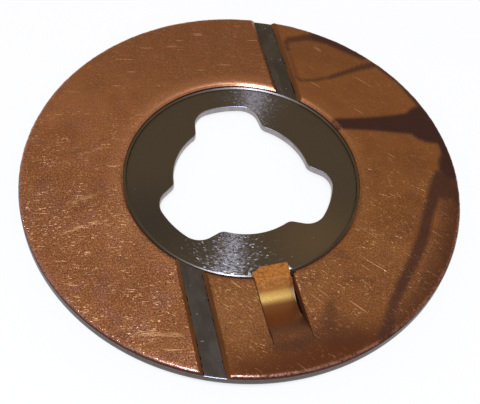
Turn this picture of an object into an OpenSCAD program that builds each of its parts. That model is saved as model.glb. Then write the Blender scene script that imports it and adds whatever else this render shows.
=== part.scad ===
// Steel-backed bronze thrust washer with a three-lobed hole, two skewed oil grooves that split
// the bronze into two pads, a turned inner face and one lanced tongue pressed down as a key.
// The washer lies flat with its bronze up: the back face is z = 0 and the washer's axis is Z.

/* [Strip] */
// Outer diameter of the washer
outer_d = 76; // [72:0.5:100]
// Thickness of the steel backing
steel_t = 1.5; // [1:0.05:2.5]
// Thickness of the bronze facing
bronze_t = 0.75; // [0.4:0.05:1.2]
// Radius that blanking leaves on the outer edge of the bronze
rim_round = 0.6; // [0.1:0.05:1]
// Radius on the lower outer edge of the steel
back_round = 0.2; // [0.05:0.05:0.5]

/* [Turned inner face] */
// Diameter of the face turned through the bronze, round the hole
face_d = 41; // [38:0.25:46]
// Depth that the turning goes into the steel
face_cut = 0.08; // [0.02:0.02:0.3]
// Radius on the bronze's edge round the turned face
face_edge_round = 0.2; // [0.05:0.05:0.35]

/* [Lobed hole] */
// Diameter of the bore between the lobes
bore_d = 23.8; // [20:0.1:26]
// Diameter across the tips of the lobes
lobe_tip_d = 31.5; // [29:0.1:34]
// Number of lobes
lobe_count = 3; // [2:1:4]
// Direction of the first lobe, in degrees
lobe_angle = 90; // [0:5:355]
// Width between a lobe's sides at its tip
lobe_w = 10.7; // [8:0.1:12]
// Lean of each lobe side towards the lobe's middle, in degrees
lobe_lean = 8; // [2:1:16]
// Radius in the two tip corners of a lobe
lobe_corner_r = 3.4; // [1:0.1:4]
// Radius where a lobe's side runs out into the bore
lobe_root_r = 1.6; // [0.3:0.1:2]

/* [Oil grooves] */
// Distance of each groove's middle line from the washer's axis
groove_offset = 12.4; // [9:0.1:15]
// Width of a groove at the bronze face
groove_w = 5.4; // [4:0.1:7]
// Width of a groove's floor
groove_floor_w = 3.2; // [2:0.1:3.9]

/* [Tongue] */
// Direction of the tongue, in degrees
tongue_angle = 271; // [262:1:290]
// Width of the tongue between the middles of its slits
tongue_w = 6.4; // [4:0.1:8]
// Depth to which the tongue is pressed down
tongue_depth = 3.2; // [1.5:0.1:4]
// Radius where the tongue begins to bend down
tongue_start = 17.8; // [17.2:0.1:18.6]
// Radius where the tongue is level again
tongue_end = 32; // [29:0.1:33]
// Radius where the slits end
slit_end = 33; // [33:0.1:34.5]
// Width of a slit
slit_gap = 0.2; // [0.1:0.05:0.4]
// Diameter of the small hole at the inner end of one slit
slit_hole_d = 0.9; // [0.5:0.1:1.5]

/* [Hidden] */
$fn = 96;
strip_t = steel_t + bronze_t;
outer_r = outer_d / 2;
face_r = face_d / 2;
face_z = steel_t - face_cut;
bore_r = bore_d / 2;
lobe_tip_r = lobe_tip_d / 2;
// Roundings stay inside the layer that they are on
rim_r = min(rim_round, 0.9 * bronze_t);
face_edge_r = min(face_edge_round, 0.4 * bronze_t);
back_r = min(back_round, 0.4 * steel_t);
// How far a cutter runs past what it cuts
past = 1;
// How far a lobe's root rounding dips inside the bore, so that the two cross
root_overlap = 0.03;
// Straight pieces that stand for a rounded edge, and for the tongue's bend
round_steps = 8;
bend_steps = 28;

// Points on an arc of radius r about a centre, from one angle to another, less the first few if asked
function arc(centre, r, from, to, first = 0) =
    [for (i = [first:round_steps]) centre + r * unit(from + (to - from) * i / round_steps)];

// Unit vector at an angle
function unit(angle) = [cos(angle), sin(angle)];

// Depth of the pressed tongue at a radius: level at both ends, deepest half way
function dip(radius) =
    tongue_depth * (1 - cos(360 * (radius - tongue_start) / (tongue_end - tongue_start))) / 2;

// Centre of a circle that touches a lobe's side: the side's line lies gap from the centre
// along its normal, and the centre lies reach from the washer's axis
function side_centre(gap, reach) =
    gap * unit(lobe_lean) + sqrt(reach * reach - gap * gap) * unit(lobe_lean + 90);

// Half section of the steel disc, with the rounded lower edge
module steel_section() {
    polygon(concat(
        [[0, 0]],
        arc([outer_r - back_r, back_r], back_r, -90, 0),
        [[outer_r, steel_t], [0, steel_t]]
    ));
}

// Half section of the bronze ring, with its rounded outer and inner edges
module bronze_section() {
    polygon(concat(
        [[face_r, steel_t], [outer_r, steel_t]],
        arc([outer_r - rim_r, strip_t - rim_r], rim_r, 0, 90),
        arc([face_r + face_edge_r, strip_t - face_edge_r], face_edge_r, 90, 180)
    ));
}

// One side of a lobe that points along +Y, from the bore out to the middle of its tip
function lobe_side() =
    let (
        side_gap = lobe_w / 2 * cos(lobe_lean) + lobe_tip_r * sin(lobe_lean),
        root = side_centre(side_gap + lobe_root_r, bore_r + lobe_root_r - root_overlap),
        corner = side_centre(side_gap - lobe_corner_r, lobe_tip_r - lobe_corner_r),
        root_turn = atan2(root.y, root.x) + 180,
        corner_turn = atan2(corner.y, corner.x)
    )
    concat(
        arc(root, lobe_root_r, root_turn, lobe_lean + 180),
        arc(corner, lobe_corner_r, lobe_lean, corner_turn),
        arc([0, 0], lobe_tip_r, corner_turn, 90, 1)
    );

// Outline of one lobe that points along +Y, joined to the washer's axis
module lobe_outline() {
    right = lobe_side();
    left = [for (i = [len(right) - 2:-1:0]) [-right[i].x, right[i].y]];
    polygon(concat([[0, 0]], right, left));
}

// The lobed hole, right through the washer
module lobed_hole() {
    translate([0, 0, -past]) linear_extrude(strip_t + 2 * past) {
        circle(r = bore_r);
        for (i = [0:lobe_count - 1]) rotate(lobe_angle - 90 + 360 * i / lobe_count) lobe_outline();
    }
}

// What the turning of the inner face takes away
module turned_recess() {
    translate([0, 0, face_z]) cylinder(r = face_r, h = strip_t - face_z + past);
}

// One oil groove, from the turned face out past the rim on the +Y side
module oil_groove() {
    wall_run = (groove_w - groove_floor_w) / 2 / bronze_t;
    translate([groove_offset, 0, steel_t]) rotate([-90, 0, 0]) linear_extrude(outer_r + past)
        polygon([
            [-groove_floor_w / 2, 0],
            [groove_floor_w / 2, 0],
            [groove_w / 2 + wall_run * past, -bronze_t - past],
            [-groove_w / 2 - wall_run * past, -bronze_t - past]
        ]);
}

// A length of the strip under or over the tongue, between two heights of the flat strip,
// bent down along the tongue
module bent_strip(low, high) {
    radii = [for (i = [0:bend_steps]) tongue_start + (tongue_end - tongue_start) * i / bend_steps];
    rotate(tongue_angle) rotate([90, 0, 0]) linear_extrude(tongue_w, center = true)
        polygon(concat(
            [for (r = radii) [r, low - dip(r)]],
            [for (i = [bend_steps:-1:0]) [radii[i], high - dip(radii[i])]]
        ));
}

// The place in the flat strip that the tongue is pressed out of
module tongue_window() {
    rotate(tongue_angle) translate([tongue_start, -tongue_w / 2, -past])
        cube([tongue_end - tongue_start, tongue_w, strip_t + 2 * past]);
}

// The two lanced slits beside the tongue, with the small hole at the inner end of one
module slits() {
    low = -tongue_depth - past;
    depth = strip_t + past - low;
    rotate(tongue_angle) translate([0, 0, low]) {
        for (side = [-1, 1]) translate([face_r, side * tongue_w / 2 - slit_gap / 2, 0])
            cube([slit_end - face_r, slit_gap, depth]);
        translate([face_r, tongue_w / 2, 0]) cylinder(d = slit_hole_d, h = depth);
    }
}

// The bronze ring on one side of the two grooves: the grooves' middle lines part it
module bronze_half(turn) {
    reach = outer_r + past;
    difference() {
        intersection() {
            rotate_extrude() bronze_section();
            rotate(turn) linear_extrude(strip_t + past)
                polygon([
                    [groove_offset, reach],
                    [groove_offset, 0],
                    [-groove_offset, 0],
                    [-groove_offset, -reach],
                    [-reach, -reach],
                    [-reach, reach]
                ]);
        }
        for (side = [0, 180]) rotate(side) oil_groove();
    }
}

// The steel back of the strip, with the hole, the turned face and the tongue's steel
module steel_backing() {
    color("dimgray") difference() {
        union() {
            difference() {
                rotate_extrude() steel_section();
                tongue_window();
            }
            bent_strip(0, steel_t);
        }
        lobed_hole();
        turned_recess();
        slits();
    }
}

// The bronze pad without the tongue
module bronze_pad_left() {
    color("peru") bronze_half(0);
}

// The bronze pad with the tongue's bronze, which the turning cuts flush at its inner end
module bronze_pad_right() {
    color("peru") difference() {
        union() {
            difference() {
                bronze_half(180);
                tongue_window();
            }
            bent_strip(steel_t, strip_t);
        }
        turned_recess();
        slits();
    }
}

steel_backing();
bronze_pad_left();
bronze_pad_right();
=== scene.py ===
# Steel-backed bronze thrust washer on a white table: a steel back with a lobed hole and a turned
# face, two worn bronze pads with oil stains, and a lanced tongue pressed down through both layers.
import math

import bmesh
import bpy
import numpy as np
from mathutils import Matrix, Vector


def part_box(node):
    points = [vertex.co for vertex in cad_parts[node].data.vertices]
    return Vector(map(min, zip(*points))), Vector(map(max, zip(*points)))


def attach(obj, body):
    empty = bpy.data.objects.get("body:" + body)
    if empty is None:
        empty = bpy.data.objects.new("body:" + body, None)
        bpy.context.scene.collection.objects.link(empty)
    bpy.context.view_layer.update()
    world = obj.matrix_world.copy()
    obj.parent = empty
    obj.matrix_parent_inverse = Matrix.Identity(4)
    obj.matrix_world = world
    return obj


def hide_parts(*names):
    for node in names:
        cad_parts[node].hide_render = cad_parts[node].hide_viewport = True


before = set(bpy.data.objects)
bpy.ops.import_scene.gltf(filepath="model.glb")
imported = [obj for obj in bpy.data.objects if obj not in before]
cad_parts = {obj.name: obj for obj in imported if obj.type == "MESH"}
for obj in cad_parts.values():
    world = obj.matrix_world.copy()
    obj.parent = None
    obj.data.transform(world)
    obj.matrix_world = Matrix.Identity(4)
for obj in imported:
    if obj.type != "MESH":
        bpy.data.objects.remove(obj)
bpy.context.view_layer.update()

MM = 0.001

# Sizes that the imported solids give
back_low, back_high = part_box("steel_backing")
pad_low, pad_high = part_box("bronze_pad_left")
OUTER_R = back_high.x
STEEL_T = pad_low.z
TOP_Z = pad_high.z
TONGUE_DEPTH = -back_low.z

# Turned inner face
FACE_R = 20.5 * MM
FACE_CUT = 0.08 * MM
FACE_Z = STEEL_T - FACE_CUT

# Lobed hole
BORE_R = 11.9 * MM
LOBE_TIP_R = 15.75 * MM
LOBE_ANGLES = (90, 210, 330)
LOBE_W = 10.7 * MM
LOBE_LEAN = math.radians(8)
LOBE_CORNER_R = 3.4 * MM
LOBE_ROOT_R = 1.6 * MM

# Oil grooves, which run along Y
GROOVE_OFFSET = 12.4 * MM
GROOVE_W = 5.4 * MM
GROOVE_FLOOR_W = 3.2 * MM

# Tongue
TONGUE_ANGLE = math.radians(271)
TONGUE_W = 6.4 * MM
TONGUE_START = 17.8 * MM
TONGUE_END = 32.0 * MM
TONGUE_CROWN = (TONGUE_START + TONGUE_END) / 2
SLIT_START = 19.8 * MM
SLIT_END = 32.5 * MM
SLIT_GAP = 0.11 * MM
SLIT_HOLE_R = 0.48 * MM
SLIT_HOLE_SHIFT = 0.12 * MM
SLIT_HOLE_ALONG = 20.5 * MM
TIP_END = 18.3 * MM
TIP_SLANT = 1.3 * MM
TIP_SQUARE = 0.28
TIP_BLEND = 0.5 * MM
TIP_STEPS = 8
TIP_RISE = 0.005 * MM
PRESSED_FADE = 3 * MM

# Slope of the tongue's inner half: places along it in mm, and the fall at each
TONGUE_FALL = ((18.9, 0), (19.9, 0.8), (22.2, 0.8), (23.9, 0.24), (24.9, 0))

# Edges
RIM_ROUND = 0.6 * MM
BACK_ROUND = 0.2 * MM
FACE_EDGE_WALL = 0.3 * MM
FACE_EDGE_W = 0.32 * MM
FACE_EDGE_LEAN = math.radians(35)
FACE_EDGE_TOP = STEEL_T + FACE_EDGE_WALL + FACE_EDGE_W * math.tan(FACE_EDGE_LEAN)
FACE_EDGE_ROUND = (TOP_Z - FACE_EDGE_TOP) / (1 - math.cos(FACE_EDGE_LEAN))
FACE_EDGE_END = FACE_R + FACE_EDGE_W + FACE_EDGE_ROUND * math.sin(FACE_EDGE_LEAN)
HOLE_EDGE_BREAK = 0.2 * MM
STEEL_EDGE_BREAK = 0.15 * MM
RIM_NIBBLE = 0.035 * MM
FACE_NIBBLE = 0.018 * MM
NIBBLE_SPREAD = 0.3
NIBBLED_SHARE = 0.7
ABOVE_STEEL = STEEL_T * 1.1

# Relief that the turning tool left in the corner of the face
RELIEF_W = 0.6 * MM
RELIEF_DEPTH = 0.1 * MM
RELIEF_FALL_END = 0.65
RELIEF_RISE_START = 0.58
RELIEF_RISE_END = 0.08

# Fineness of the meshes
TURN_STEPS = 480
STATION_STEP = 0.4 * MM
FACE_STEPS = 12
EDGE_STEPS = 4
SLIT_HOLE_STEPS = 24
CUT_PAST = 1.0 * MM
CRISP_ANGLE = math.radians(32)

# What counts as the same place, and as the same radius
HAIR = 0.01 * MM
JUST_OVER = 1.001

TONGUE_DIR = Vector((math.cos(TONGUE_ANGLE), math.sin(TONGUE_ANGLE), 0))
TONGUE_SIDE = Vector((-math.sin(TONGUE_ANGLE), math.cos(TONGUE_ANGLE), 0))

# The side of the washer that is rubbed most
NEAR_SIDE = Vector((-0.33, -0.94, 0))

# How far up the faces of the steel look: 1 is straight up, and -1 is straight down
TURNED_FACE_UP = 0.97
GROOVE_FLOOR_UP = 0.7
RIM_EDGE_UP = 0.2
HOLE_EDGE_UP = 0.15
BACK_UP = -0.5

# The photograph's frame and where its camera stands
FRAME_W, FRAME_H = 480, 404
AXIS_PIXEL = (241.66, 180.72)
CAMERA_LENS = 66.95
SENSOR_W = 36.0
CAMERA_DISTANCE = 156.1 * MM
CAMERA_ELEVATION = math.radians(53.58)
CAMERA_ROLL = math.radians(-7.43)
CAMERA_AZIMUTH = math.radians(-19)
CLIP_START, CLIP_END = 0.01, 200

# Lights: the key stands almost behind the camera, with its width and height in metres
KEY_AZIMUTH = math.radians(-2)
KEY_ELEVATION = math.radians(62.5)
KEY_DISTANCE = 0.6
KEY_W, KEY_H = 0.065, 0.22
KEY_POWER = 3.3
KEY_TINT = (0.68, 0.84, 1.45)
ROOM_TINT = (1.0, 0.86, 0.7)
ROOM_STRENGTH = 0.4

# The table, with painted shade under the washer: it darkens from the hole outwards and is white past the
# rim
TABLE_SIZE = 40
DARKENS_FROM, DARK_AT = 18 * MM, 19 * MM
WHITENS_FROM, WHITE_AT = 35 * MM, 37 * MM
TABLE_GAP = 0.02 * MM
TABLE_WHITE = (0.97, 0.92, 0.8)
TABLE_PAINTED_SHADE = (0.03, 0.012, 0.006)
TABLE_GLOW = 0.86

# Colours of the bronze
DEEP = (0.37, 0.13, 0.03)
CLEAR = (0.51, 0.197, 0.048)
# Painted shade on the far side of the pads
FAR_PAINTED_SHADE = (0.44, 0.165, 0.042)
REDDISH = (0.53, 0.16, 0.045)
YELLOWISH = (0.46, 0.215, 0.04)
BROAD_LIGHT = (0.7, 0.3, 0.09)
BROAD_DARK = (0.25, 0.09, 0.03)
BY_SEAM = (0.68, 0.29, 0.085)
BLUSH = (0.45, 0.175, 0.082)
DULL = (0.25, 0.092, 0.04)
PIT = (0.17, 0.056, 0.016)
PEAK = (0.8, 0.38, 0.12)
FLECK = (0.95, 0.53, 0.2)
RIM_PAINTED_SHADE_COLOUR = (0.16, 0.046, 0.011)
STAINED = (0.085, 0.034, 0.021)
FAR_SEAM_WEAR_AND_HIGHLIGHT = (0.6, 0.25, 0.09)
WORN_RIM = (0.62, 0.3, 0.17)
OUTER_SIDE_PAINTED_SHADE = (0.07, 0.024, 0.022)
SEAM_CORNER = (0.18, 0.072, 0.036)
NEAR_SEAM_PAINTED_SHADE = (0.1, 0.042, 0.03)

# Colours along the pressed tongue, its own golden finish with painted light in it: its tip, then where each
# next one begins and is full, in mm. The bright band at 22 mm is a painted highlight, the dark tone after
# it is painted shade, and the last one is a painted dark reflection by the root
TIP_TONE = (0.88, 0.34, 0.07)
TONGUE_TONES_AND_PAINTED_LIGHT = (
    (20.2, 21.2, (0.64, 0.25, 0.055)),
    (22.0, 22.6, (0.85, 0.5, 0.11)),
    (23.2, 24.6, (0.3, 0.105, 0.025)),
    (27.0, 31.0, (0.19, 0.085, 0.05)),
)
TIP_DARK_SPOT = (0.36, 0.125, 0.026)
TIP_LIGHT_SPOT = (1.0, 0.5, 0.15)
SLIT_PAINTED_SHADOW = (0.05, 0.018, 0.014)
EDGE_PAINTED_HIGHLIGHT = (0.95, 0.56, 0.3)

# Single marks that stand out on the pads, one of them a painted highlight: both ends and the half width in
# mm, and how bright they are
MARKS_LEFT = (
    (-32.4, -6.9, -25.1, -5.4, 0.5, 0.8),
    (-30.5, -1.2, -25.0, -0.2, 0.45, 0.5),
    (-27.5, 8.6, -22.5, 9.6, 0.4, 0.5),
    (-28.4, -6.4, -27.0, -6.4, 0.1, 0.8),
    (-28.7, -11.0, -27.6, -11.2, 0.1, 0.8),
    (-22.9, -10.0, -20.7, -10.5, 0.08, 0.7),
    (-5.7, 33.1, -4.0, 32.8, 0.12, 0.6),
    (-12.0, 22.4, -9.5, 21.9, 0.12, 0.6),
    (-23.7, -26.5, -15.6, -28.4, 0.5, 0.65),
)
MARKS_RIGHT = (
    (15.8, -20.3, 20.8, -25.6, 0.07, 1.0),
    (14.9, -21.3, 15.9, -22.6, 0.07, 0.8),
    (9.7, -25.4, 10.4, -25.9, 0.09, 0.8),
    (4.3, -27.6, 5.1, -27.8, 0.08, 0.8),
    # A painted highlight on the plate's edge beside the right slit, not a scratch
    (3.84, -22.7, 3.88, -24.3, 0.2, 1.0),
    (-6.4, -35.7, -5.5, -36.7, 0.08, 0.8),
    (26.1, -5.4, 31.0, -9.6, 0.07, 0.7),
    (29.7, -7.9, 31.6, -7.9, 0.08, 0.8),
    (22.0, -8.1, 23.6, -9.0, 0.09, 0.7),
    (21.9, -2.8, 22.8, -3.2, 0.09, 0.7),
)

# Broad tones of the pads: a place and a reach in mm, how strong the tone is, and whether it is light
TONES_LEFT = (
    (-31.0, -1.5, 10.0, 0.3, False),
    (-26.5, 15.0, 6.0, 0.3, False),
    (-22.5, -8.5, 5.0, 0.5, True),
)
TONES_RIGHT = (
    (-7.5, -25.5, 8.0, 0.5, True),
    (7.0, -23.5, 7.0, 0.4, True),
    (19.5, -20.5, 7.0, 0.3, True),
)

# Painted shade along the near rim of the right pad, written like the stains
RIM_PAINTED_SHADE_PATHS = (
    (1.0, 8.0, ((-8.0, -38.0, 0.3), (1.0, -37.8, 1.2), (7.0, -37.0, 1.8), (12.5, -36.0, 0.3))),
    (0.7, 3.0, ((12.5, -36.0, 0.3), (22.0, -31.0, 0.3), (29.0, -24.5, 0.2), (36.0, -12.0, 0.2))),
)

# Stains on the right pad, each with its strength, the softness of its edge in mm, and places on the
# pad with half widths in mm
STAINS = (
    (1.0, 0.8, ((19.5, 8.0, 0.85), (22.8, 7.4, 1.0), (26.0, 6.9, 1.2), (30.3, 6.15, 1.75))),
    (1.0, 0.8, ((30.3, 6.15, 1.75), (32.9, 5.85, 2.15), (35.2, 5.65, 3.05), (36.5, 5.2, 4.15))),
    (1.0, 0.8, ((36.5, 5.2, 4.15), (38.5, 5.0, 5.85))),
    (1.0, 0.6, ((38.1, 2.0, 1.3), (38.1, -1.0, 1.4), (37.9, -3.2, 1.8), (37.6, -5.2, 2.5))),
    (0.85, 0.9, ((37.8, -4.5, 2.6), (37.2, -8.6, 3.2), (36.4, -12.4, 1.2))),
    (0.85, 0.9, ((36.2, -5.8, 1.3), (34.0, -9.8, 1.5))),
    (0.85, 1.1, ((34.4, -6.4, 0.7), (31.9, -10.0, 0.6), (29.3, -14.0, 0.45))),
    (0.8, 1.0, ((29.3, -14.0, 0.5), (26.6, -18.7, 0.55), (23.2, -22.9, 0.5), (19.8, -26.9, 0.45))),
    (0.75, 0.9, ((19.8, -26.9, 0.45), (17.2, -30.3, 0.45), (15.6, -33.2, 0.6), (14.8, -34.8, 0.8))),
    (0.7, 0.8, ((15.4, 27.4, 0.1), (15.3, 28.6, 0.15), (15.6, 29.4, 0.2), (16.3, 29.9, 0.3))),
    (0.75, 0.9, ((16.3, 29.9, 0.3), (17.8, 29.9, 0.3), (19.6, 30.0, 0.4), (21.6, 29.9, 0.7))),
    (0.9, 1.2, ((21.6, 29.9, 0.7), (24.1, 28.7, 0.9), (26.5, 26.5, 0.9), (29.5, 23.9, 0.8))),
    (0.15, 3.0, ((17.5, 27.0, 1.0), (21.0, 25.5, 1.5), (27.5, 23.0, 1.0))),
    (0.35, 0.5, ((15.4, 27.4, 0.1), (15.3, 23.4, 0.15), (15.2, 20.0, 0.15))),
    (0.6, 0.5, ((15.2, 20.0, 0.1), (15.7, 19.3, 0.1), (18.4, 18.9, 0.15), (21.6, 19.2, 0.2))),
    (0.75, 0.5, ((21.6, 19.2, 0.2), (24.6, 19.9, 0.3), (27.7, 20.6, 0.4), (31.2, 21.1, 0.6))),
    (0.85, 0.6, ((31.2, 21.5, 0.5), (34.4, 16.2, 0.5), (36.6, 10.0, 0.7))),
    (0.5, 1.2, ((35.6, -10.4, 0.8), (34.6, -15.0, 0.5))),
    (0.45, 1.6, ((31.5, -20.5, 1.0), (29.0, -23.5, 0.6))),
    (0.4, 1.6, ((34.4, -11.0, 0.9), (32.3, -16.0, 1.0), (29.8, -20.4, 1.0), (26.5, -24.6, 0.9))),
    (0.4, 1.6, ((26.5, -24.6, 0.9), (22.0, -29.0, 0.6), (17.5, -32.6, 0.4))),
    (0.45, 1.3, ((7.9, -27.8, 0.3), (7.3, -29.2, 0.5), (6.7, -30.8, 0.6))),
    (0.25, 1.8, ((4.4, -32.2, 0.4), (6.9, -33.1, 0.9), (10.3, -33.3, 0.6))),
    (0.45, 1.4, ((-2.2, -32.9, 0.3), (0.8, -33.2, 0.4), (4.0, -32.4, 0.3))),
)


# Shapes


def hole_radius(angle):
    """Distance from the axis to the lobed hole's edge at an angle."""
    nearest = min(abs((math.degrees(angle) - lobe + 180) % 360 - 180) for lobe in LOBE_ANGLES)
    off_axis = math.radians(nearest)
    side_gap = LOBE_W / 2 * math.cos(LOBE_LEAN) + LOBE_TIP_R * math.sin(LOBE_LEAN)
    side_turn = math.pi / 2 - LOBE_LEAN
    corner_reach = LOBE_TIP_R - LOBE_CORNER_R
    corner_turn = side_turn - math.acos((side_gap - LOBE_CORNER_R) / corner_reach)
    root_reach = BORE_R + LOBE_ROOT_R
    root_turn = side_turn - math.acos((side_gap + LOBE_ROOT_R) / root_reach)
    corner_end = side_turn - math.atan2(corner_reach * math.sin(side_turn - corner_turn), side_gap)
    root_end = side_turn - math.atan2(root_reach * math.sin(side_turn - root_turn), side_gap)
    if off_axis < corner_turn:
        return LOBE_TIP_R
    if off_axis < corner_end:
        turn = off_axis - corner_turn
        aside = corner_reach * math.sin(turn)
        return corner_reach * math.cos(turn) + math.sqrt(LOBE_CORNER_R**2 - aside**2)
    if off_axis < root_end:
        return side_gap / math.cos(side_turn - off_axis)
    if off_axis < root_turn:
        turn = off_axis - root_turn
        aside = root_reach * math.sin(turn)
        return root_reach * math.cos(turn) - math.sqrt(LOBE_ROOT_R**2 - aside**2)
    return BORE_R


def fall(along):
    """Depth that the slope of the tongue's inner half gives at a distance along it."""
    depth = 0
    for (start, first), (end, last) in zip(TONGUE_FALL, TONGUE_FALL[1:]):
        run = min(max(along / MM - start, 0), end - start)
        depth += run * first + run**2 * (last - first) / (end - start) / 2
    return depth


def dip(along):
    """Depth of the pressed tongue at a distance along it: a straight slope, a bend and a longer rise."""
    if along < TONGUE_CROWN:
        return TONGUE_DEPTH * fall(along) / fall(TONGUE_CROWN)
    share = min((along - TONGUE_CROWN) / (TONGUE_END - TONGUE_CROWN), 1)
    return TONGUE_DEPTH * (1 + math.cos(math.pi * share)) / 2


def soft_min(first, second):
    """The lower of two heights, rounded where they cross."""
    near = max(TIP_BLEND - abs(first - second), 0) / TIP_BLEND
    return min(first, second) - near**2 * TIP_BLEND / 4


def tongue_place(point):
    """Distances of a point along the tongue and across it."""
    return point.dot(TONGUE_DIR), point.dot(TONGUE_SIDE)


def arc_stations(centre_r, centre_z, radius, start, end):
    """Stations on a rounded edge, from one angle to another in degrees."""
    turns = [math.radians(start + (end - start) * i / EDGE_STEPS) for i in range(EDGE_STEPS + 1)]
    return [(centre_r + radius * math.cos(t), centre_z + radius * math.sin(t)) for t in turns]


def flat_stations(start, end, z):
    """Evenly spaced stations on a flat face, without its two ends."""
    count = max(1, round(abs(end - start) / STATION_STEP))
    return [(start + (end - start) * i / count, z) for i in range(1, count)]


def slope_stations(start_r, start_z, end_r, end_z):
    """Stations on a straight slope, close together at its ends so that it shades flat between them."""
    shares = (0, 0.1, 0.9, 1)
    return [(start_r + (end_r - start_r) * s, start_z + (end_z - start_z) * s) for s in shares]


def pick(piece):
    """Makes a piece the active object and the only selected one."""
    bpy.ops.object.select_all(action="DESELECT")
    piece.select_set(True)
    bpy.context.view_layer.objects.active = piece


def start_edit(piece):
    """Opens a piece for editing with nothing selected."""
    pick(piece)
    bpy.ops.object.mode_set(mode="EDIT")
    bpy.ops.mesh.select_all(action="DESELECT")


def select_faces(piece, wanted):
    """Selects the faces of the open piece whose middle and normal pass a test."""
    mesh = bmesh.from_edit_mesh(piece.data)
    for face in mesh.faces:
        if wanted(face.calc_center_median(), face.normal):
            face.select_set(True)
    bmesh.update_edit_mesh(piece.data)


def place_loop(piece, station):
    """Moves the selected loop to a station: a radius, or a function of the angle, and a height."""
    radius, z = station
    mesh = bmesh.from_edit_mesh(piece.data)
    for vert in mesh.verts:
        if vert.select:
            angle = math.atan2(vert.co.y, vert.co.x)
            reach = radius(angle) if callable(radius) else radius
            vert.co = (reach * math.cos(angle), reach * math.sin(angle), z)
    bmesh.update_edit_mesh(piece.data)


def ring(name, stations):
    """A closed ring: a circle drawn out through the stations of its section and joined to its start."""
    bpy.ops.mesh.primitive_circle_add(vertices=TURN_STEPS, radius=OUTER_R)
    piece = bpy.context.object
    piece.name = name
    piece.data.name = name
    bpy.ops.object.mode_set(mode="EDIT")
    bpy.ops.mesh.select_all(action="SELECT")
    place_loop(piece, stations[0])
    for station in stations[1:]:
        bpy.ops.mesh.extrude_edges_move()
        place_loop(piece, station)
    bpy.ops.mesh.select_all(action="DESELECT")
    bpy.ops.mesh.select_non_manifold()
    bpy.ops.mesh.bridge_edge_loops()
    bpy.ops.mesh.select_all(action="SELECT")
    bpy.ops.mesh.normals_make_consistent(inside=False)
    bpy.ops.object.mode_set(mode="OBJECT")
    return piece


def cut_away(piece, cutter):
    """Takes a cutter's volume out of a piece and removes the cutter."""
    pick(piece)
    knife = piece.modifiers.new("cut", "BOOLEAN")
    knife.operation = "DIFFERENCE"
    knife.solver = "EXACT"
    knife.object = cutter
    bpy.ops.object.modifier_apply(modifier=knife.name)
    bpy.data.objects.remove(cutter)


def cut_slits(piece, slit_start):
    """Cuts the two lanced slits beside the tongue."""
    middle = (slit_start + SLIT_END) / 2
    for side in (-1, 1):
        bpy.ops.mesh.primitive_cube_add(
            size=1,
            location=TONGUE_DIR * middle + TONGUE_SIDE * side * TONGUE_W / 2,
            rotation=(0, 0, TONGUE_ANGLE),
            scale=(SLIT_END - slit_start, SLIT_GAP, 2 * (TONGUE_DEPTH + TOP_Z)),
        )
        cut_away(piece, bpy.context.object)


def cut_slit_hole(piece):
    """Cuts the small hole beside the inner end of one slit, before the tongue is pressed."""
    bpy.ops.mesh.primitive_cylinder_add(
        vertices=SLIT_HOLE_STEPS,
        radius=SLIT_HOLE_R,
        depth=2 * (TONGUE_DEPTH + TOP_Z),
        location=TONGUE_DIR * SLIT_HOLE_ALONG + TONGUE_SIDE * (TONGUE_W / 2 + SLIT_HOLE_SHIFT),
    )
    cut_away(piece, bpy.context.object)


def press_tongue(piece, spare):
    """Presses the strip between the slits down; spare gives the part of the dip that a point is let off."""
    group = piece.vertex_groups.new(name="tongue")
    half_w = TONGUE_W / 2 - SLIT_GAP / 4
    for vert in piece.data.vertices:
        along, across = tongue_place(vert.co)
        if abs(across) < half_w and TONGUE_START < along < TONGUE_END:
            group.add([vert.index], max(0, dip(along) - spare(vert.co)) / TONGUE_DEPTH, "REPLACE")
    pick(piece)
    press = piece.modifiers.new("press", "DISPLACE")
    press.direction = "Z"
    press.mid_level = 0
    press.strength = -TONGUE_DEPTH
    press.vertex_group = group.name
    bpy.ops.object.modifier_apply(modifier=press.name)
    piece.vertex_groups.clear()


def finish_mesh(piece):
    """Smooth shading with crisp edges."""
    pick(piece)
    bpy.ops.object.shade_smooth_by_angle(angle=CRISP_ANGLE)


def hole_edge(extra):
    """The hole's edge, set back from the opening."""
    return lambda angle: hole_radius(angle) + extra


def hole_to_face(share):
    """A loop between the lobed hole's edge and the relief round the turned face."""
    return lambda angle: hole_radius(angle) * (1 - share) + (FACE_R - RELIEF_W) * share


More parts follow.
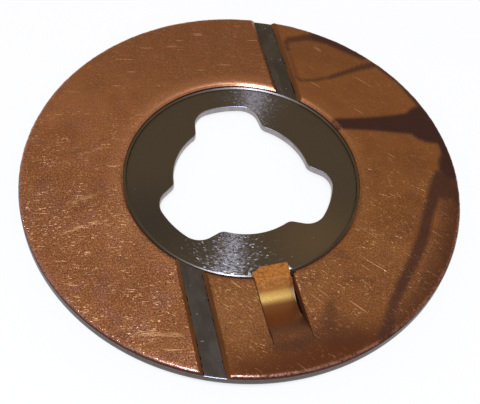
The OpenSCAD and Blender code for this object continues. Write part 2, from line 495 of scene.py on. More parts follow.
def build_steel():
    """The steel back: turned face, groove floors, rim, back and hole wall in one ring."""
    edge = HOLE_EDGE_BREAK
    rim_r = OUTER_R - STEEL_EDGE_BREAK
    face = [(hole_to_face(i / FACE_STEPS), FACE_Z) for i in range(1, FACE_STEPS)]
    under = [(hole_to_face(i / FACE_STEPS), 0) for i in range(FACE_STEPS - 1, 0, -1)]
    turns = [math.radians(90 * i / EDGE_STEPS) for i in range(EDGE_STEPS + 1)]
    stations = [(hole_edge(edge * (1 - math.cos(t))), FACE_Z - edge * (1 - math.sin(t))) for t in turns]
    stations += face
    low = FACE_Z - RELIEF_DEPTH
    fall_end = FACE_R - RELIEF_W * RELIEF_FALL_END
    rise_start = FACE_R - RELIEF_W * RELIEF_RISE_START
    rise_end = FACE_R - RELIEF_W * RELIEF_RISE_END
    stations += slope_stations(FACE_R - RELIEF_W, FACE_Z, fall_end, low)
    stations += slope_stations(rise_start, low, rise_end, STEEL_T)
    stations += [(FACE_R, STEEL_T)]
    stations += flat_stations(FACE_R, rim_r, STEEL_T)
    stations += arc_stations(rim_r, STEEL_T - STEEL_EDGE_BREAK, STEEL_EDGE_BREAK, 90, 0)
    stations += arc_stations(OUTER_R - BACK_ROUND, BACK_ROUND, BACK_ROUND, 0, -90)
    stations += flat_stations(OUTER_R - BACK_ROUND, FACE_R, 0)
    stations += [(FACE_R, 0)]
    stations += under
    stations += [(hole_edge(edge), 0), (hole_edge(0), edge)]
    piece = ring("steel_back", stations)
    cut_slits(piece, SLIT_START)
    cut_slit_hole(piece)
    press_tongue(piece, lambda point: FACE_CUT if point.z > FACE_Z / 2 and point.xy.length < FACE_R else 0)
    finish_mesh(piece)
    return piece


def cut_at_groove(piece, side, far):
    """Cuts one half of a ring at a groove's sloping wall: side is the sign of the pad that is kept."""
    offset = GROOVE_OFFSET if far else -GROOVE_OFFSET
    lean = (GROOVE_W - GROOVE_FLOOR_W) / 2 / (TOP_Z - STEEL_T)
    start_edit(piece)
    select_faces(piece, lambda middle, normal: (middle.y > 0) == far)
    bpy.ops.mesh.bisect(
        plane_co=(offset + side * GROOVE_FLOOR_W / 2, 0, STEEL_T),
        plane_no=(-side, 0, lean),
        use_fill=True,
        clear_outer=True,
    )
    bpy.ops.object.mode_set(mode="OBJECT")


def fill_gaps(piece):
    """Fills small gaps that a cut left in a piece."""
    start_edit(piece)
    bpy.ops.mesh.select_all(action="SELECT")
    bpy.ops.mesh.fill_holes(sides=4)
    bpy.ops.object.mode_set(mode="OBJECT")


def nibble(piece, wanted, depth, seed):
    """Roughens the points of a piece that pass a test."""
    start_edit(piece)
    mesh = bmesh.from_edit_mesh(piece.data)
    for vert in mesh.verts:
        if wanted(vert.co):
            vert.select_set(True)
    bmesh.update_edit_mesh(piece.data)
    bpy.ops.transform.vertex_random(offset=depth, uniform=NIBBLE_SPREAD, normal=NIBBLE_SPREAD, seed=seed)
    bpy.ops.object.mode_set(mode="OBJECT")


def at_rim(point):
    """Whether a point is on the rounded edge at the rim."""
    width = RIM_ROUND * NIBBLED_SHARE
    return point.xy.length > OUTER_R - width and point.z > TOP_Z - width


def at_face_edge(point):
    """Whether a point is on the rounded edge round the turned face, away from the tongue."""
    along, across = tongue_place(point)
    beside_tongue = along > 0 and abs(across) < TONGUE_W
    rounded = FACE_R + FACE_EDGE_W * 0.95 < point.xy.length < FACE_EDGE_END * JUST_OVER
    return rounded and point.z > ABOVE_STEEL and not beside_tongue


def nibble_edges(piece, seed):
    """Roughens the rim, and a little the edge round the turned face."""
    nibble(piece, at_rim, RIM_NIBBLE, seed)
    nibble(piece, at_face_edge, FACE_NIBBLE, seed + 1)


def build_pad(name, side):
    """One bronze pad: a ring with rounded edges, cut at the two grooves."""
    lean = math.degrees(FACE_EDGE_LEAN)
    rim_r = OUTER_R - RIM_ROUND
    stations = [(FACE_R, STEEL_T)]
    stations += slope_stations(FACE_R, STEEL_T + FACE_EDGE_WALL, FACE_R + FACE_EDGE_W, FACE_EDGE_TOP)
    stations += arc_stations(FACE_EDGE_END, TOP_Z - FACE_EDGE_ROUND, FACE_EDGE_ROUND, 90 + lean, 90)[1:]
    stations += flat_stations(FACE_EDGE_END, rim_r, TOP_Z)
    stations += arc_stations(rim_r, TOP_Z - RIM_ROUND, RIM_ROUND, 90, 0)
    stations += [(OUTER_R, STEEL_T)]
    stations += flat_stations(OUTER_R, FACE_R, STEEL_T)
    piece = ring(name, stations)
    cut_at_groove(piece, side, True)
    cut_at_groove(piece, side, False)
    return piece


def build_pad_left():
    """The pad without the tongue."""
    piece = build_pad("bronze_left", -1)
    nibble_edges(piece, seed=3)
    finish_mesh(piece)
    return piece


def draw_out_tip(piece):
    """Draws the tongue's inner end out over the turned face, at first level with the strip."""
    half_w = TONGUE_W / 2
    start_edit(piece)

    def end_wall(middle, normal):
        along, across = tongue_place(middle)
        at_edge = middle.xy.length < FACE_R * JUST_OVER
        faces_axis = normal.dot(TONGUE_DIR) < -0.9
        return at_edge and faces_axis and along > 0 and abs(across) < half_w

    mesh = bmesh.from_edit_mesh(piece.data)
    for vert in mesh.verts:
        along, across = tongue_place(vert.co)
        sloped = vert.co.xy.length < FACE_EDGE_END * JUST_OVER and vert.co.z > ABOVE_STEEL
        if sloped and abs(across) < half_w and along > 0:
            vert.co.z = TOP_Z
    bmesh.update_edit_mesh(piece.data)
    select_faces(piece, end_wall)
    for _ in range(TIP_STEPS):
        bpy.ops.mesh.extrude_region_move(
            TRANSFORM_OT_translate={"value": TONGUE_DIR * (TIP_END - FACE_R) / TIP_STEPS}
        )
    bpy.ops.object.mode_set(mode="OBJECT")


def press_tip(piece):
    """Presses the drawn-out end down, slants its tip and cuts it flush with the turned face."""
    widen = (TONGUE_W + SLIT_GAP) / (TONGUE_W - SLIT_GAP)
    start_edit(piece)
    mesh = bmesh.from_edit_mesh(piece.data)
    for vert in mesh.verts:
        along, across = tongue_place(vert.co)
        edge = math.sqrt(FACE_R**2 - min(across**2, FACE_R**2))
        if along < 0 or abs(across) > TONGUE_W / 2 or along > edge - HAIR:
            continue
        share = (edge - along) / (FACE_R - TIP_END)
        corner = min(max((-across / (TONGUE_W / 2) - TIP_SQUARE) / (1 - TIP_SQUARE), 0), 1)
        tip = TIP_END + TIP_SLANT * corner**2
        along = edge + share * (tip - edge)
        level = 2 * (vert.co.z - STEEL_T) / (TOP_Z - STEEL_T) - 1
        z = soft_min(vert.co.z - dip(along), FACE_Z + TIP_RISE * level)
        vert.co = TONGUE_DIR * along + TONGUE_SIDE * across * widen + Vector((0, 0, z))
    bmesh.update_edit_mesh(piece.data)
    bpy.ops.object.mode_set(mode="OBJECT")


def build_pad_right():
    """The pad with the tongue's bronze."""
    piece = build_pad("bronze_right", 1)
    cut_slits(piece, FACE_R - CUT_PAST)
    cut_slit_hole(piece)
    fill_gaps(piece)
    draw_out_tip(piece)
    press_tongue(piece, lambda point: TONGUE_DEPTH if point.xy.length < FACE_R - HAIR else 0)
    press_tip(piece)
    nibble_edges(piece, seed=5)
    finish_mesh(piece)
    return piece


def stain_at(x, y, stains):
    """How dark some stains are at points on the pad, from 0 to 1."""
    dark = np.zeros_like(x)
    for strength, soft, path in stains:
        for (x0, y0, w0), (x1, y1, w1) in zip(path, path[1:]):
            dx, dy = x1 - x0, y1 - y0
            share = np.clip(((x - x0) * dx + (y - y0) * dy) / (dx * dx + dy * dy), 0, 1)
            away = np.hypot(x - x0 - share * dx, y - y0 - share * dy) - (w0 + share * (w1 - w0))
            fade = np.clip(1 - away / soft, 0, 1)
            dark = np.maximum(dark, strength * fade * fade * (3 - 2 * fade))
    return dark


def paint(piece, name, values):
    """Writes one value for each point of a piece to the piece's own attribute."""
    layer = piece.data.attributes.new(name, "FLOAT", "POINT")
    layer.data.foreach_set("value", np.asarray(values, dtype=np.float32))


def paint_pad(piece):
    """Marks where the pad is stained, where shade is painted along its near rim, and where the tongue is
    pressed smooth.
    """
    places = np.zeros(len(piece.data.vertices) * 3)
    piece.data.vertices.foreach_get("co", places)
    places = places.reshape(-1, 3)
    x, y = places[:, 0], places[:, 1]
    paint(piece, "stain", stain_at(x / MM, y / MM, STAINS))
    paint(piece, "rim_painted_shade", stain_at(x / MM, y / MM, RIM_PAINTED_SHADE_PATHS))
    along = places @ np.array(TONGUE_DIR)
    across = places @ np.array(TONGUE_SIDE)
    on_tongue = (np.abs(across) < TONGUE_W / 2) | (np.hypot(x, y) < FACE_R)
    fade = np.clip((SLIT_END - along) / PRESSED_FADE, 0, 1)
    paint(piece, "pressed", on_tongue * (along > 0) * fade)


def at_slit(face):
    """Whether a face is a wall of a slit beside the tongue, or of the small hole."""
    along, across = tongue_place(face.center)
    beside = -SLIT_GAP < abs(across) - TONGUE_W / 2 < SLIT_HOLE_SHIFT + SLIT_HOLE_R * 1.1
    upright = abs(face.normal.z) < 0.5
    return beside and upright and TIP_END < along < SLIT_END + SLIT_GAP


# Finishes


class Finish:
    """A material with a Principled shader, and short calls that add nodes to it."""

    def __init__(self, name):
        self.material = bpy.data.materials.new(name)
        self.material.use_nodes = True
        self.tree = self.material.node_tree
        self.tree.nodes.clear()
        self.out = self.tree.nodes.new("ShaderNodeOutputMaterial")
        self.shader = self.tree.nodes.new("ShaderNodeBsdfPrincipled")
        self.tree.links.new(self.shader.outputs[0], self.out.inputs["Surface"])
        self.place = self.tree.nodes.new("ShaderNodeTexCoord").outputs["Object"]

    def set(self, socket, value):
        """Gives an input a value, or a link to another node."""
        if isinstance(value, bpy.types.NodeSocket):
            self.tree.links.new(value, socket)
        else:
            socket.default_value = value

    def surface(self, **values):
        """Sets the shader's inputs by name."""
        for name, value in values.items():
            self.set(self.shader.inputs[name.replace("_", " ")], value)

    def node(self, kind, inputs, **settings):
        """Adds a node, with its settings and its inputs by name or number."""
        made = self.tree.nodes.new("ShaderNode" + kind)
        for name, value in settings.items():
            setattr(made, name, value)
        for key, value in inputs.items():
            self.set(made.inputs[key], value)
        return made.outputs

    def math(self, operation, a, b=0.0):
        """One step of arithmetic."""
        return self.node("Math", {0: a, 1: b}, operation=operation)[0]

    def times(self, *values):
        """The product of some numbers."""
        product = values[0]
        for value in values[1:]:
            product = self.math("MULTIPLY", product, value)
        return product

    def rest(self, value):
        """What a number leaves of 1."""
        return self.math("SUBTRACT", 1.0, value)

    def noise(self, scale, detail=3.0, rough=0.6, place=None):
        """A noise of a given number of features to the metre."""
        inputs = {"Vector": place or self.place, "Scale": scale, "Detail": detail, "Roughness": rough}
        return self.node("TexNoise", inputs)[0]

    def turned(self, angle, stretch):
        """Places turned about Z and stretched along the new X, for marks that run one way."""
        spin = self.node("Mapping", {"Vector": self.place, "Rotation": (0, 0, -math.radians(angle))})[0]
        return self.node("Mapping", {"Vector": spin, "Scale": (1 / stretch, 1, 1)})[0]

    def from_axis(self):
        """Distance from the washer's axis."""
        axes = self.node("SeparateXYZ", {0: self.place})
        flat = self.node("CombineXYZ", {0: axes[0], 1: axes[1]})[0]
        return self.node("VectorMath", {0: flat}, operation="LENGTH")["Value"]

    def along(self, direction):
        """Distance from the axis in a direction."""
        return self.node("VectorMath", {0: self.place, 1: direction}, operation="DOT_PRODUCT")["Value"]

    def step(self, value, low, high):
        """A soft step from 0 at low to 1 at high."""
        inputs = {0: value, 1: low, 2: high}
        return self.node("MapRange", inputs, interpolation_type="SMOOTHSTEP")[0]

    def mix(self, share, first, second):
        """A mix of two colours."""
        made = self.tree.nodes.new("ShaderNodeMix")
        made.data_type = "RGBA"
        colour_a, colour_b = [s for s in made.inputs if s.type == "RGBA"]
        self.set(made.inputs[0], share)
        self.set(colour_a, first)
        self.set(colour_b, second)
        return [s for s in made.outputs if s.type == "RGBA"][0]

    def blend(self, share, first, second):
        """A number between two others."""
        return self.node("MapRange", {0: share, 3: first, 4: second})[0]

    def attribute(self, name):
        """A value that is painted on the piece."""
        return self.node("Attribute", {}, attribute_name=name)["Fac"]

    def around(self, stretch):
        """Places unrolled round the axis and stretched along the turning, for marks that circle it."""
        axes = self.node("SeparateXYZ", {0: self.place})
        angle = self.math("ARCTAN2", axes[1], axes[0])
        along = self.math("MULTIPLY", angle, FACE_R / stretch)
        return self.node("CombineXYZ", {0: along, 1: self.from_axis()})[0]

    def mark(self, x0, y0, x1, y1, half_w, strength):
        """A thin straight mark between two places in mm, faint at both ends."""
        length = math.hypot(x1 - x0, y1 - y0) * MM
        middle = Vector(((x0 + x1) / 2, (y0 + y1) / 2, 0)) * MM
        moved = self.node("VectorMath", {0: self.place, 1: middle}, operation="SUBTRACT")[0]
        turn = (0, 0, -math.atan2(y1 - y0, x1 - x0))
        axes = self.node("SeparateXYZ", {0: self.node("Mapping", {"Vector": moved, "Rotation": turn})[0]})
        inside = self.step(self.math("ABSOLUTE", axes[0]), length * 0.55, length * 0.3)
        thin = self.step(self.math("ABSOLUTE", axes[1]), half_w * MM, half_w * MM * 0.3)
        return self.times(inside, thin, strength)

    def patch(self, x, y, reach):
        """A soft round patch about a place in mm."""
        middle = Vector((x, y, 0)) * MM
        moved = self.node("VectorMath", {0: self.place, 1: middle}, operation="SUBTRACT")[0]
        away = self.node("VectorMath", {0: moved}, operation="LENGTH")["Value"]
        return self.step(away, reach * MM, 0.0)

    def bump(self, height, depth):
        """A bump of a given depth in metres."""
        self.normal = self.node("Bump", {"Height": height, "Strength": 1.0, "Distance": depth})[0]
        self.surface(Normal=self.normal)

    def glitter(self, scale, stretch, spread):
        """Small facets along the turning that lean at random, a few of them far."""
        inputs = {"Vector": self.around(stretch), "Scale": scale}
        facets = self.node("TexVoronoi", inputs, voronoi_dimensions="2D")["Color"]
        near = self.step(self.along(NEAR_SIDE), -14 * MM, 8 * MM)
        few = self.step(self.node("SeparateXYZ", {0: facets})[2], 0.05, 1.0)
        few = self.times(few, self.blend(near, 0.52, 1.0))
        lean = self.node("VectorMath", {0: facets, 1: (0.5, 0.5, 0.5)}, operation="SUBTRACT")[0]
        lean = self.node("VectorMath", {0: lean, 1: (spread, spread, 0)}, operation="MULTIPLY")[0]
        lean = self.node("VectorMath", {0: lean, "Scale": few}, operation="SCALE")[0]
        leaning = self.node("VectorMath", {0: self.normal, 1: lean}, operation="ADD")[0]
        self.surface(Normal=self.node("VectorMath", {0: leaning}, operation="NORMALIZE")[0])


def colour(red, green, blue):
    """A colour with full cover."""
    return (red, green, blue, 1)


class Bronze(Finish):
    """Rubbed brown bronze: mottled, grained, flecked by short bright marks, worn bright on its edges,
    and smooth and golden on the pressed tongue. Its colour also holds painted light: painted shade on the
    far side, down the outer side, along the near rim and by the near seam, a painted highlight band and
    painted shade along the tongue, and painted highlights on the tongue's edge and the seam's far edge."""

    def __init__(self, name, tone, far_painted_shade, rubbing, rub_angle):
        super().__init__(name)
        self.tone = tone
        self.far_painted_shade = far_painted_shade
        self.rubbing = rubbing
        self.rub_angle = rub_angle
        self.reach = self.from_axis()
        self.near = self.along(NEAR_SIDE)
        self.tongue_run = self.along(TONGUE_DIR)
        self.grain = self.noise(4400, 2, 0.65)
        self.pressed = self.attribute("pressed")
        self.plain = self.rest(self.times(self.pressed, 0.85))
        self.nearer = self.blend(self.nearwards(-18, 14), 0.3, 1.0)
        self.lively = self.times(self.plain, self.nearer)
        self.rim = self.outwards(OUTER_R, -0.75, -0.4)
        self.inner = self.times(self.outwards(FACE_EDGE_END, 0.1, -0.35), self.nearwards(-4, -15), rubbing)

    def outwards(self, radius, start, full):
        """A soft step between two distances in mm from a radius."""
        return self.step(self.reach, radius + start * MM, radius + full * MM)

    def nearwards(self, start, full):
        """A soft step towards the near side, between two distances in mm from the axis."""
        return self.step(self.near, start * MM, full * MM)

    def down_tongue(self, start, full):
        """A soft step along the tongue, between two distances in mm from the axis."""
        return self.step(self.tongue_run, start * MM, full * MM)

    def shade(self, tint, dim=1.0):
        """A colour of this bronze, dimmed if asked."""
        return colour(*(part * share * dim for part, share in zip(tint, self.tone)))

    def metal(self, tones):
        """The bare metal: clouded, tinted, lighter and darker in places, pitted and grained, with painted
        shade on its far side.
        """
        clouds = self.step(self.noise(170, 4), 0.3, 0.7)
        body = self.mix(clouds, self.shade(DEEP), self.shade(CLEAR))
        # Painted shade: the colour darkens towards the far side of the washer, the left pad most
        body = self.mix(self.nearwards(-2, -32), body, self.shade(FAR_PAINTED_SHADE, self.far_painted_shade))
        tint = self.noise(1500, 2)
        body = self.mix(self.times(self.step(tint, 0.5, 0.68), 0.5), body, self.shade(REDDISH))
        body = self.mix(self.times(self.step(tint, 0.48, 0.32), 0.4), body, self.shade(YELLOWISH))
        for x, y, size, share, light in tones:
            broad = self.times(self.patch(x, y, size), share)
            body = self.mix(broad, body, self.shade(BROAD_LIGHT if light else BROAD_DARK))
        by_seam = self.times(self.outwards(FACE_R, 3.4, 0.8), self.plain, 0.45 * self.rubbing)
        body = self.mix(by_seam, body, self.shade(BY_SEAM))
        blush = self.step(self.noise(320, 2), 0.46, 0.7)
        body = self.mix(self.times(blush, self.lively, 0.5 * self.rubbing), body, self.shade(BLUSH))
        dull = self.step(self.noise(360, 3, 0.6, self.turned(self.rub_angle, 1.6)), 0.52, 0.68)
        body = self.mix(self.times(dull, self.lively, 0.5), body, self.shade(DULL))
        pits = self.times(self.step(self.grain, 0.5, 0.34), self.lively, 0.3 + 0.7 * self.rubbing)
        body = self.mix(pits, body, self.shade(PIT))
        peaks = self.times(self.step(self.grain, 0.53, 0.7), self.lively, 0.4 + 0.6 * self.rubbing)
        return self.mix(peaks, body, self.shade(PEAK))

    def scratches(self, marks):
        """Short bright flecks in patches, long fine ones, and the single marks that stand out; the extra
        flecks by the near rim are partly a painted highlight, and one mark is a painted highlight.
        """
        # More flecks by the near rim: partly real marks, partly a painted highlight that widens the rim's
        # glint
        near_rim_flecks_and_highlight = self.times(self.outwards(OUTER_R, -2.4, -0.6), self.nearwards(24, 34), 0.7)
        patches = self.times(self.step(self.noise(260, 2), 0.38, 0.62), self.nearer)
        patches = self.times(self.math("MAXIMUM", patches, near_rim_flecks_and_highlight), 0.3 + 0.7 * self.rubbing)
        short = self.step(self.noise(4600, 1, 0.5, self.turned(self.rub_angle, 3.2)), 0.6, 0.74)
        flecks = self.times(short, patches, self.plain)
        fine = self.step(self.noise(3200, 1, 0.5, self.turned(self.rub_angle - 6, 16)), 0.705, 0.79)
        flecks = self.math("MAXIMUM", flecks, self.times(fine, self.plain, 0.6))
        broken = self.step(self.noise(4200, 1, 0.5, self.turned(self.rub_angle, 3)), 0.36, 0.56)
        for mark in marks:
            flecks = self.math("MAXIMUM", flecks, self.times(self.mark(*mark), broken))
        return flecks

    def tongue(self, body):
        """Colours the pressed tongue: golden bands with a painted highlight band and painted shade towards
        its root, a spotted tip, a painted shadow line along the left slit and a painted highlight on the
        right edge.
        """
        golden = colour(*TIP_TONE)
        # The tongue's golden finish, with a painted highlight band and painted shade towards the root
        for start, full, tint in TONGUE_TONES_AND_PAINTED_LIGHT:
            golden = self.mix(self.down_tongue(start, full), golden, colour(*tint))
        mottle = self.noise(1900, 3, 0.7)
        on_tip = self.down_tongue(22.6, 21.4)
        spots = self.times(self.step(mottle, 0.52, 0.34), on_tip, 0.75)
        golden = self.mix(spots, golden, colour(*TIP_DARK_SPOT))
        spots = self.times(self.step(mottle, 0.52, 0.68), on_tip, 0.7)
        golden = self.mix(spots, golden, colour(*TIP_LIGHT_SPOT))
        body = self.mix(self.times(self.pressed, 0.95), body, golden)
        across = self.along(TONGUE_SIDE)
        # Painted shadow: a dark line along the left slit, on both the plate's edge and the tongue's
        from_left = self.math("ABSOLUTE", self.math("ADD", across, TONGUE_W / 2))
        line = self.times(self.step(from_left, 0.3 * MM, 0.12 * MM), 0.9)
        line = self.times(line, self.down_tongue(19, 20.5), self.down_tongue(SLIT_END / MM, 30))
        body = self.mix(line, body, colour(*SLIT_PAINTED_SHADOW))
        # Painted highlight: a light strip on the tongue's right edge, only where the bright band crosses it
        edge = self.step(across, TONGUE_W / 2 - 0.3 * MM, TONGUE_W / 2 - 0.16 * MM)
        edge = self.times(edge, self.pressed, self.down_tongue(21.8, 22.6), self.down_tongue(24.8, 23.6))
        return self.mix(edge, body, colour(*EDGE_PAINTED_HIGHLIGHT))

    def edges(self, body):
        """Stains the pad, wears its edges bright with a painted highlight on the seam's far edge, paints
        shade down its outer side and on the near side of its seam, and darkens the joint at the seam.
        """
        stain = self.attribute("stain")
        body = self.mix(stain, body, colour(*STAINED))
        patchy = self.times(self.step(self.noise(2400, 2), 0.3, 0.65), self.plain)
        # Wear on the seam's far edge, lightened there as a painted highlight as well
        body = self.mix(self.times(self.inner, patchy), body, self.shade(FAR_SEAM_WEAR_AND_HIGHLIGHT))
        body = self.mix(self.times(self.rim, patchy, self.rest(stain)), body, self.shade(WORN_RIM))
        # Painted shade down the outer side of the pad
        body = self.mix(self.outwards(OUTER_R, -0.24, -0.1), body, colour(*OUTER_SIDE_PAINTED_SHADE))
        flat = self.rest(self.pressed)
        corner = self.times(self.outwards(FACE_R, 0.08, 0.02), flat)
        body = self.mix(corner, body, colour(*SEAM_CORNER))
        # Painted shade: the bronze's edge is darkened on the near side of the seam only
        near_seam_shade = self.times(self.outwards(FACE_R, 0.55, 0.3), flat, self.nearwards(0, 13))
        return self.mix(near_seam_shade, body, colour(*NEAR_SEAM_PAINTED_SHADE))

    def roughness(self, flecks):
        """Duller on the grain, and glossier on the edges, the tongue's slope and the flecks."""
        slope = self.times(self.inner, self.outwards(FACE_R + FACE_EDGE_W, 0.06, 0))
        rough = self.blend(self.grain, 0.4, 0.54)
        rough = self.math("SUBTRACT", rough, self.times(self.math("MAXIMUM", self.rim, slope), 0.25))
        glossy = self.times(self.pressed, self.down_tongue(25.5, 23.5), 0.2)
        rough = self.math("SUBTRACT", rough, glossy)
        return self.math("SUBTRACT", rough, self.times(flecks, 0.15))

    def finished(self, marks, tones):
        """The material, with the single marks and the broad tones of one pad."""
        # Painted shade along the near rim of the right pad, which also thins the flecks there
        rim_painted_shade = self.times(self.attribute("rim_painted_shade"), self.plain)
        flecks = self.times(self.scratches(marks), self.blend(rim_painted_shade, 1.0, 0.35))
        body = self.mix(rim_painted_shade, self.metal(tones), colour(*RIM_PAINTED_SHADE_COLOUR))
        body = self.mix(flecks, body, colour(*FLECK))
        body = self.edges(self.tongue(body))
        self.surface(Base_Color=body, Metallic=0.85, Roughness=self.roughness(flecks))
        relief = self.math("ADD", self.times(self.grain, self.plain, 0.22), flecks)
        self.bump(self.times(relief, self.rest(self.inner)), 0.036 * MM)
        return self.material


def smooth_bronze(name, tone):
    """Groove walls: orange-brown bronze drawn smooth along the groove."""
    made = Finish(name)
    drawn = made.noise(2200, 3, 0.6, made.turned(90, 10))
    dark = colour(0.16 * tone, 0.06 * tone, 0.018 * tone)
    light = colour(0.36 * tone, 0.15 * tone, 0.045 * tone)
    body = made.mix(drawn, dark, light)
    made.surface(Base_Color=body, Metallic=0.85, Roughness=0.42)
    made.bump(drawn, 0.006 * MM)
    return made.material


def torn_metal(name, dark, light):
    """Walls of the lanced slits: rough torn metal."""
    made = Finish(name)
    tears = made.noise(2600, 4, 0.7)
    made.surface(Base_Color=made.mix(tears, dark, light), Roughness=0.8, Specular_IOR_Level=0.0)
    made.bump(tears, 0.03 * MM)
    return made.material


def turned_steel():
    """The turned face: fine rings that stretch the lights into fans, and broken glints along them."""
    made = Finish("turned_steel")
    inputs = {"W": made.from_axis(), "Scale": 9000.0, "Detail": 3.0}
    rings = made.node("TexNoise", inputs, noise_dimensions="1D")[0]
    specks = made.step(made.noise(1300, 2), 0.74, 0.78)
    body = made.mix(rings, colour(0.135, 0.111, 0.08), colour(0.205, 0.168, 0.122))
    body = made.mix(made.patch(9, -15.5, 12), body, colour(0.26, 0.19, 0.115))
    body = made.mix(made.patch(-17.5, -7, 13), body, colour(0.12, 0.102, 0.088))
    body = made.mix(specks, body, colour(0.5, 0.45, 0.4))
    tangent = made.node("Tangent", {}, direction_type="RADIAL", axis="Z")[0]
    made.surface(Base_Color=body, Metallic=1.0, Roughness=0.31, Anisotropic=1.0)
    made.surface(Anisotropic_Rotation=0.25, Tangent=tangent)
    made.bump(rings, 0.004 * MM)
    made.glitter(scale=6800, stretch=2.8, spread=0.38)
    return made.material


def relief_steel():
    """The relief round the turned face: a smooth dark cut that glints where it faces the light."""
    made = Finish("relief_steel")
    chatter = made.noise(1800, 2, 0.5, made.around(5))
    body = made.mix(chatter, colour(0.11, 0.09, 0.06), colour(0.2, 0.163, 0.11))
    made.surface(Base_Color=body, Metallic=1.0, Roughness=0.32)
    made.bump(chatter, 0.006 * MM)
    return made.material


def ground_steel():
    """Groove floors: grey-green steel with fine marks along the groove."""
    made = Finish("ground_steel")
    marks = made.noise(2600, 3, 0.6, made.turned(90, 12))
    specks = made.step(made.noise(1500, 2), 0.7, 0.75)
    body = made.mix(marks, colour(0.112, 0.094, 0.07), colour(0.184, 0.155, 0.12))
    blotches = made.step(made.noise(420, 3, 0.6, made.turned(90, 2)), 0.36, 0.64)
    body = made.mix(blotches, colour(0.108, 0.091, 0.068), body)
    body = made.mix(specks, body, colour(0.5, 0.46, 0.42))
    made.surface(Base_Color=body, Metallic=1.0, Roughness=0.42)
    made.bump(marks, 0.005 * MM)
    return made.material


def sheared_steel(name, dark, light):
    """Blanked edges: upright streaks from the punch."""
    made = Finish(name)
    upright = made.node("Mapping", {"Vector": made.place, "Scale": (1, 1, 0.12)})[0]
    streaks = made.noise(900, 3, 0.6, upright)
    made.surface(Base_Color=made.mix(streaks, dark, light), Metallic=1.0, Roughness=0.4)
    made.bump(streaks, 0.01 * MM)
    return made.material


def add_finishes(piece, *finishes):
    """Puts some materials on a piece, in order."""
    for finish in finishes:
        piece.data.materials.append(finish)


def dress_steel(piece):
    """Gives each face of the steel its finish."""
    turned, relief, ground, wall, rim, edge, torn = range(7)
    add_finishes(
        piece,
        turned_steel(),
        relief_steel(),
        ground_steel(),
        sheared_steel("hole_wall_steel", colour(0.24, 0.22, 0.22), colour(0.44, 0.41, 0.405)),
        sheared_steel("rim_steel", colour(0.055, 0.047, 0.036), colour(0.12, 0.102, 0.082)),
        # The rounded edge breaks: sheared steel made lighter than the rim as a painted highlight
        sheared_steel("edge_steel_with_painted_highlight", colour(0.28, 0.25, 0.235), colour(0.5, 0.455, 0.42)),
        torn_metal("torn_steel", colour(0.07, 0.026, 0.01), colour(0.15, 0.06, 0.025)),
    )
    for face in piece.data.polygons:
        reach = face.center.xy.length
        if at_slit(face):
            face.material_index = torn
        elif reach > OUTER_R - STEEL_EDGE_BREAK and face.normal.z > RIM_EDGE_UP:
            face.material_index = edge
        elif reach > FACE_R:
            face.material_index = ground if face.normal.z > GROOVE_FLOOR_UP else rim
        elif reach > FACE_R - RELIEF_W and face.normal.z > 0:
            face.material_index = relief
        elif face.normal.z > TURNED_FACE_UP:
            face.material_index = turned
        elif face.normal.z > HOLE_EDGE_UP:
            face.material_index = edge
        else:
            face.material_index = rim if face.normal.z < BACK_UP else wall


def dress_pad(piece, rubbed_bronze, wall_tone):
    """Gives each face of a pad its finish."""
    rubbed, smooth, torn = range(3)
    groove_wall = smooth_bronze(piece.name + "_groove_wall", wall_tone)
    slit_wall = torn_metal(piece.name + "_slit_wall", colour(0.09, 0.03, 0.014), colour(0.26, 0.1, 0.045))
    add_finishes(piece, rubbed_bronze, groove_wall, slit_wall)
    for face in piece.data.polygons:
        beside_groove = abs(abs(face.center.x) - GROOVE_OFFSET) < GROOVE_W
        runs_along_it = abs(face.normal.y) < 0.02
        slopes = 0.5 < abs(face.normal.x) < 0.8
        if at_slit(face):
            face.material_index = torn
        elif beside_groove and runs_along_it and slopes:
            face.material_index = smooth
        else:
            face.material_index = rubbed


# Stage


def add_floor():
    """A white table that the tongue's crown and the opposite edge of the washer rest on."""
    far_edge = OUTER_R - BACK_ROUND
    lean = math.atan2(TONGUE_DEPTH, TONGUE_CROWN + far_edge)
    bpy.ops.mesh.primitive_plane_add(size=TABLE_SIZE)
    floor = bpy.context.object
    floor.name = "floor"
    turn = Matrix.Rotation(TONGUE_ANGLE, 4, "Z") @ Matrix.Rotation(lean, 4, "Y")
    gap = Vector((0, 0, TABLE_GAP))
    floor.data.transform(Matrix.Translation(-TONGUE_DIR * far_edge - gap) @ turn)
    made = Finish("white_table")
    reach = made.from_axis()
    in_hole = made.step(reach, DARK_AT, DARKENS_FROM)
    open_table = made.math("MAXIMUM", in_hole, made.step(reach, WHITENS_FROM, WHITE_AT))
    # Painted shade: the table's own colour turns dark under the washer, between the hole and the rim
    table = made.mix(open_table, colour(*TABLE_PAINTED_SHADE), colour(*TABLE_WHITE))
    made.surface(Base_Color=table, Roughness=0.9, Specular_IOR_Level=0.0)
    ray = made.node("LightPath", {})
    seen = made.math("MAXIMUM", ray["Is Camera Ray"], ray["Is Glossy Ray"])
    seen = made.math("MAXIMUM", seen, ray["Is Transmission Ray"])
    glow = made.node("Emission", {"Color": colour(1, 1, 1), "Strength": 1.0})[0]
    share = made.times(seen, open_table, TABLE_GLOW)
    mixed = made.node("MixShader", {0: share, 1: made.shader.outputs[0], 2: glow})[0]
    made.tree.links.new(mixed, made.out.inputs["Surface"])
    floor.data.materials.append(made.material)


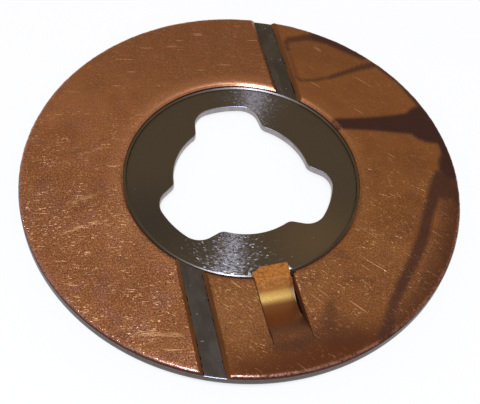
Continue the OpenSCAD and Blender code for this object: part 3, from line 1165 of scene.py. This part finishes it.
def add_camera():
    """The photograph's camera: rolled a little, and aimed so that the washer's axis falls on its pixel."""
    focal = CAMERA_LENS / SENSOR_W * FRAME_W
    back = Vector((0, -math.cos(CAMERA_ELEVATION), math.sin(CAMERA_ELEVATION)))
    right = Vector((1, 0, 0))
    look = Matrix((right, back.cross(right), back))
    roll = Matrix.Rotation(CAMERA_ROLL, 3, "Z")
    to_axis = Vector(((AXIS_PIXEL[0] - FRAME_W / 2) / focal, (FRAME_H / 2 - AXIS_PIXEL[1]) / focal, -1))
    aim = Vector((0, 0, -1)).rotation_difference(to_axis).to_matrix()
    turn = Matrix.Rotation(CAMERA_AZIMUTH, 3, "Z")
    data = bpy.data.cameras.new("camera")
    data.lens = CAMERA_LENS
    data.sensor_width = SENSOR_W
    data.clip_start = CLIP_START
    data.clip_end = CLIP_END
    camera = bpy.data.objects.new("camera", data)
    bpy.context.scene.collection.objects.link(camera)
    place = turn @ (aim @ roll @ look).transposed()
    camera.matrix_world = Matrix.Translation(turn @ back * CAMERA_DISTANCE) @ place.to_4x4()
    bpy.context.scene.camera = camera


def add_key():
    """An oblong soft light that faces the washer from almost behind the camera."""
    side = KEY_AZIMUTH + CAMERA_AZIMUTH
    level = math.cos(KEY_ELEVATION)
    towards = Vector((math.sin(side) * level, -math.cos(side) * level, math.sin(KEY_ELEVATION)))
    data = bpy.data.lights.new("key", "AREA")
    data.shape = "RECTANGLE"
    data.size = KEY_W
    data.size_y = KEY_H
    data.energy = KEY_POWER
    data.color = KEY_TINT
    light = bpy.data.objects.new("key", data)
    light.location = towards * KEY_DISTANCE
    light.rotation_euler = towards.to_track_quat("Z", "Y").to_euler()
    bpy.context.scene.collection.objects.link(light)


def add_world():
    """Plain warm light from all round."""
    world = bpy.data.worlds.new("room")
    bpy.context.scene.world = world
    world.use_nodes = True
    sky = world.node_tree.nodes["Background"]
    sky.inputs["Color"].default_value = colour(*ROOM_TINT)
    sky.inputs["Strength"].default_value = ROOM_STRENGTH


bpy.context.scene.view_settings.view_transform = "Standard"
add_camera()

steel_back = build_steel()
dress_steel(steel_back)
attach(steel_back, "root")
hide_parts("steel_backing")

bronze_left = build_pad_left()
clean = Bronze("bronze_clean", tone=(1.0, 1.0, 1.2), far_painted_shade=0.72, rubbing=1.0, rub_angle=-5)
dress_pad(bronze_left, clean.finished(MARKS_LEFT, TONES_LEFT), wall_tone=1.4)
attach(bronze_left, "root")
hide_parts("bronze_pad_left")

bronze_right = build_pad_right()
paint_pad(bronze_right)
stained = Bronze("bronze_stained", tone=(0.8, 0.79, 0.78), far_painted_shade=1.0, rubbing=0.5, rub_angle=-45)
dress_pad(bronze_right, stained.finished(MARKS_RIGHT, TONES_RIGHT), wall_tone=1.0)
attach(bronze_right, "root")
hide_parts("bronze_pad_right")

add_floor()
add_world()
add_key()
